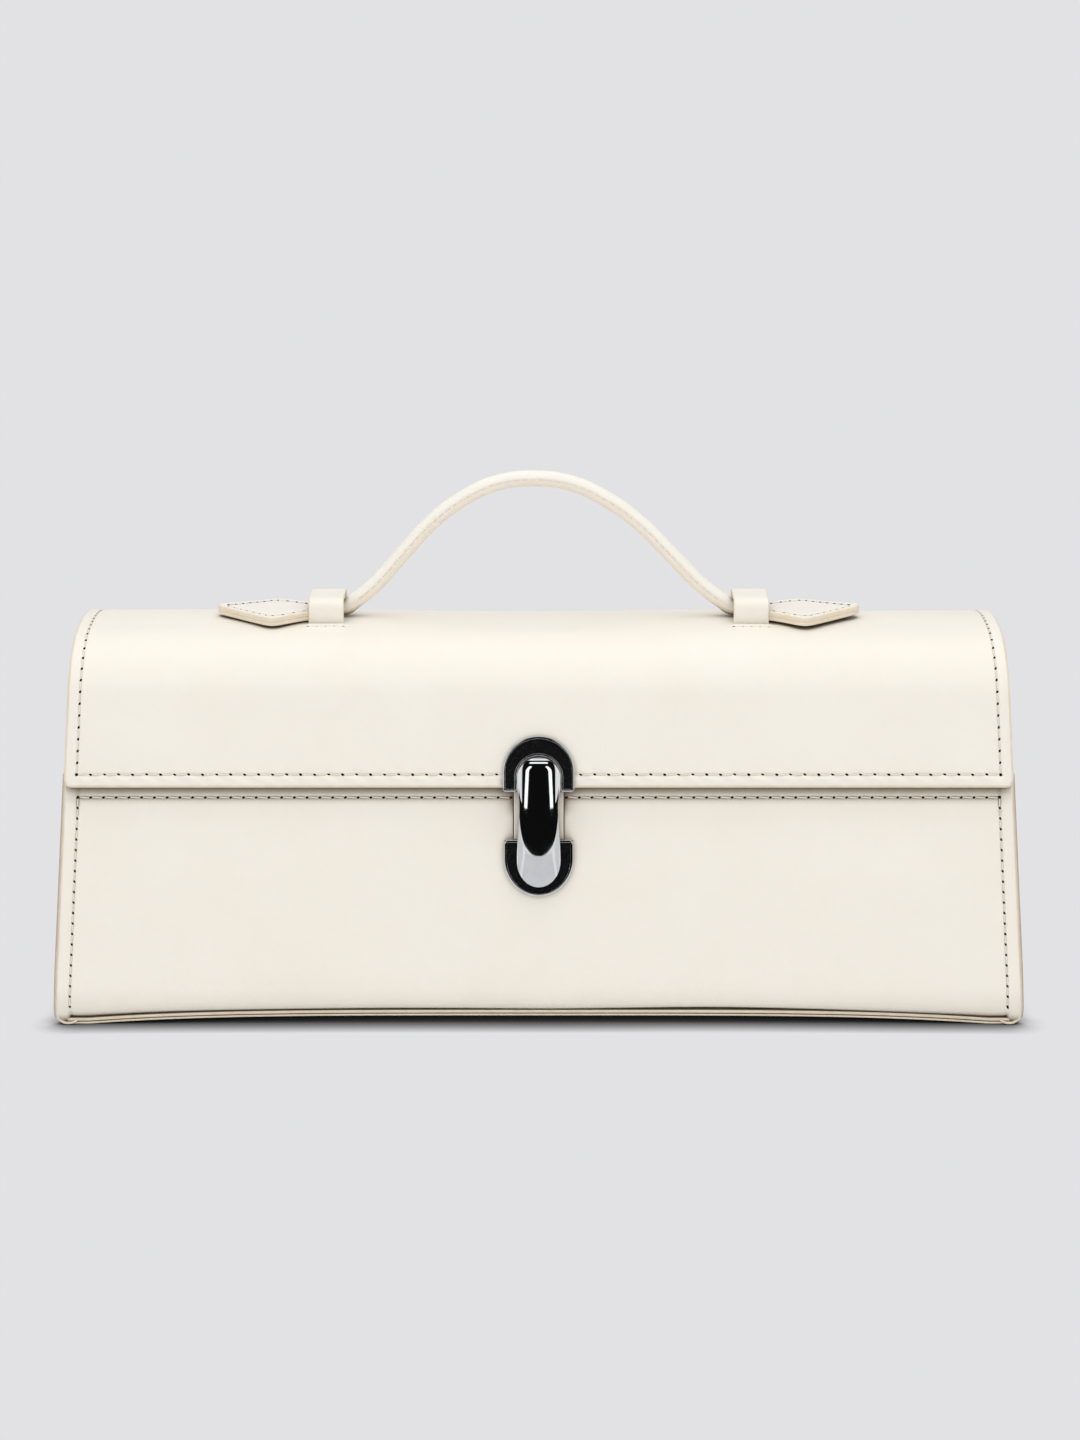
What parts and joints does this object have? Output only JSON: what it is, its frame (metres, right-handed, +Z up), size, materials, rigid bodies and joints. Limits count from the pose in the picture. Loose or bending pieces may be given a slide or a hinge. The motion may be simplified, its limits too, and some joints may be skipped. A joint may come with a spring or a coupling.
{
  "type": "top handle bag",
  "caption": "East-west flap bag in ivory leather with a rolled top handle, strap keepers, diamond strap ends and a long slide clasp.",
  "frame": {"origin": "middle of the footprint, on the floor", "axes": "+X across the width, to the right as the clasp is faced; the clasp side faces -Y; +Z up"},
  "size_m": [0.3, 0.0867, 0.1676],
  "materials": {
    "leather": "smooth semi-matte, ivory",
    "edge": "painted edge, tan",
    "lining": "matt woven lining, beige",
    "board": "fibre board, hidden",
    "core": "cotton cord, hidden",
    "metal": "mirror polished",
    "enamel": "black enamel, glossy"
  },
  "bodies": {
    "bag_body": {"back_lining": "lining", "back_panel": "leather", "base_board": "board", "base_lining": "lining", "base_panel": "leather", "base_reinforcement": "edge", "clasp_lower_backing": "metal", "clasp_lower_inlay": "enamel", "clasp_lower_plate": "metal", "clasp_lower_rivet_left": "metal", "clasp_lower_rivet_right": "metal", "front_facing": "leather", "front_lining": "lining", "front_panel": "leather", "gusset_left": "leather", "gusset_lining_left": "lining", "gusset_lining_right": "lining", "gusset_right": "leather", "slip_pocket": "lining"},
    "flap": {"flap_outer": "leather", "flap_stiffener": "board", "flap_lining": "lining", "clasp_upper_plate": "metal", "clasp_upper_inlay": "enamel", "clasp_upper_backing": "metal", "clasp_upper_rivet_left": "metal", "clasp_upper_rivet_right": "metal", "keeper_left": "leather", "keeper_right": "leather", "tab_top_left": "leather", "tab_top_right": "leather", "tab_lining_left": "edge", "tab_lining_right": "edge"},
    "slider": {"clasp_slider": "metal", "slider_hook": "metal", "slider_retainer": "metal"},
    "handle": {"handle_wrap": "leather", "handle_core": "core"}
  },
  "joints": [
    {"name": "flap_hinge", "type": "hinge", "parent": "bag_body", "child": "flap", "pos_m": [0, 0.03271, 0.09524], "axis": [-1, 0, 0], "range_deg": [0, 120]},
    {"name": "clasp_slide", "type": "slide", "parent": "flap", "child": "slider", "axis": [0, 0.165, 0.9863], "range_m": [0, 0.005]},
    {"name": "handle_tilt", "type": "hinge", "parent": "flap", "child": "handle", "pos_m": [0, 0, 0.1242], "axis": [1, 0, 0], "range_deg": [-35, 35], "stiffness_Nm_per_rad": 0.02}
  ]
}
